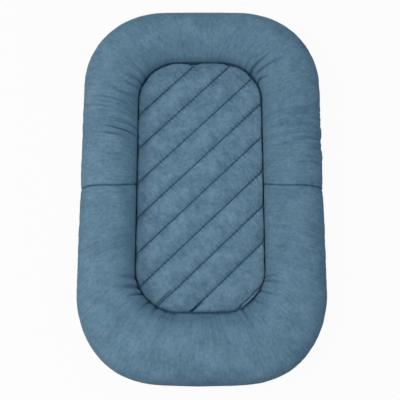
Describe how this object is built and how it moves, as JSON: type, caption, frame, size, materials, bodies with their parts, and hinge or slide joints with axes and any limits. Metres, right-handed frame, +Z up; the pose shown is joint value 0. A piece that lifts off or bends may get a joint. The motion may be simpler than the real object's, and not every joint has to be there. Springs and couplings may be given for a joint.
{
  "type": "infant lounger",
  "caption": "Closed-ring stuffed bolster in velvet, with a diagonally quilted pad that lifts out of its hollow and a zip under the base.",
  "frame": {"origin": "on the floor, under the middle of the ring's box", "axes": "+Y towards the head end, +X to the right of someone who stands at the foot end, +Z up"},
  "size_m": [0.57, 0.9, 0.125],
  "materials": {
    "velvet": "short-pile velvet, dusty steel blue, mottled nap",
    "lining": "plain woven lining, matt",
    "stuffing": "loose polyester fibre",
    "foam": "open-cell foam, fine pores",
    "thread": "sewing thread, slightly glossy",
    "zip_tape": "herringbone woven tape",
    "zip_coil": "moulded nylon coil",
    "zip_metal": "plated zinc, satin"
  },
  "bodies": {
    "lounger": {"bumper_cover_head": "velvet", "bumper_cover_foot": "velvet", "bumper_filling": "stuffing", "side_seam_thread_right": "thread", "side_seam_thread_left": "thread", "base_panel": "lining", "base_wadding": "stuffing", "floor_panel": "lining", "zip_tape_right": "zip_tape", "zip_tape_left": "zip_tape", "zip_coil_right": "zip_coil", "zip_coil_left": "zip_coil", "zip_top_stop_right": "zip_metal", "zip_top_stop_left": "zip_metal", "zip_bottom_stop": "zip_metal"},
    "pad": {"pad_back_cloth": "lining", "pad_foam_core": "foam", "pad_side_band": "velvet", "pad_wadding": "stuffing", "pad_quilted_top": "velvet", "pad_piping": "velvet", "quilt_thread_1": "thread", "quilt_thread_2": "thread", "quilt_thread_3": "thread", "quilt_thread_4": "thread", "quilt_thread_5": "thread", "quilt_thread_6": "thread", "quilt_thread_7": "thread", "quilt_thread_8": "thread"},
    "zip_slider": {"zip_slider": "zip_metal"},
    "zip_pull": {"zip_pull_tab": "zip_metal"}
  },
  "joints": [
    {"name": "pad_lift", "type": "slide", "parent": "lounger", "child": "pad", "axis": [0, 0, 1], "range_m": [0, 0.15]},
    {"name": "zip_slide", "type": "slide", "parent": "lounger", "child": "zip_slider", "axis": [0, -1, 0], "range_m": [0, 0.4]},
    {"name": "pull_swing", "type": "hinge", "parent": "zip_slider", "child": "zip_pull", "pos_m": [0, 0.2002, 0.00189], "axis": [-1, 0, 0], "range_deg": [0, 160]}
  ]
}
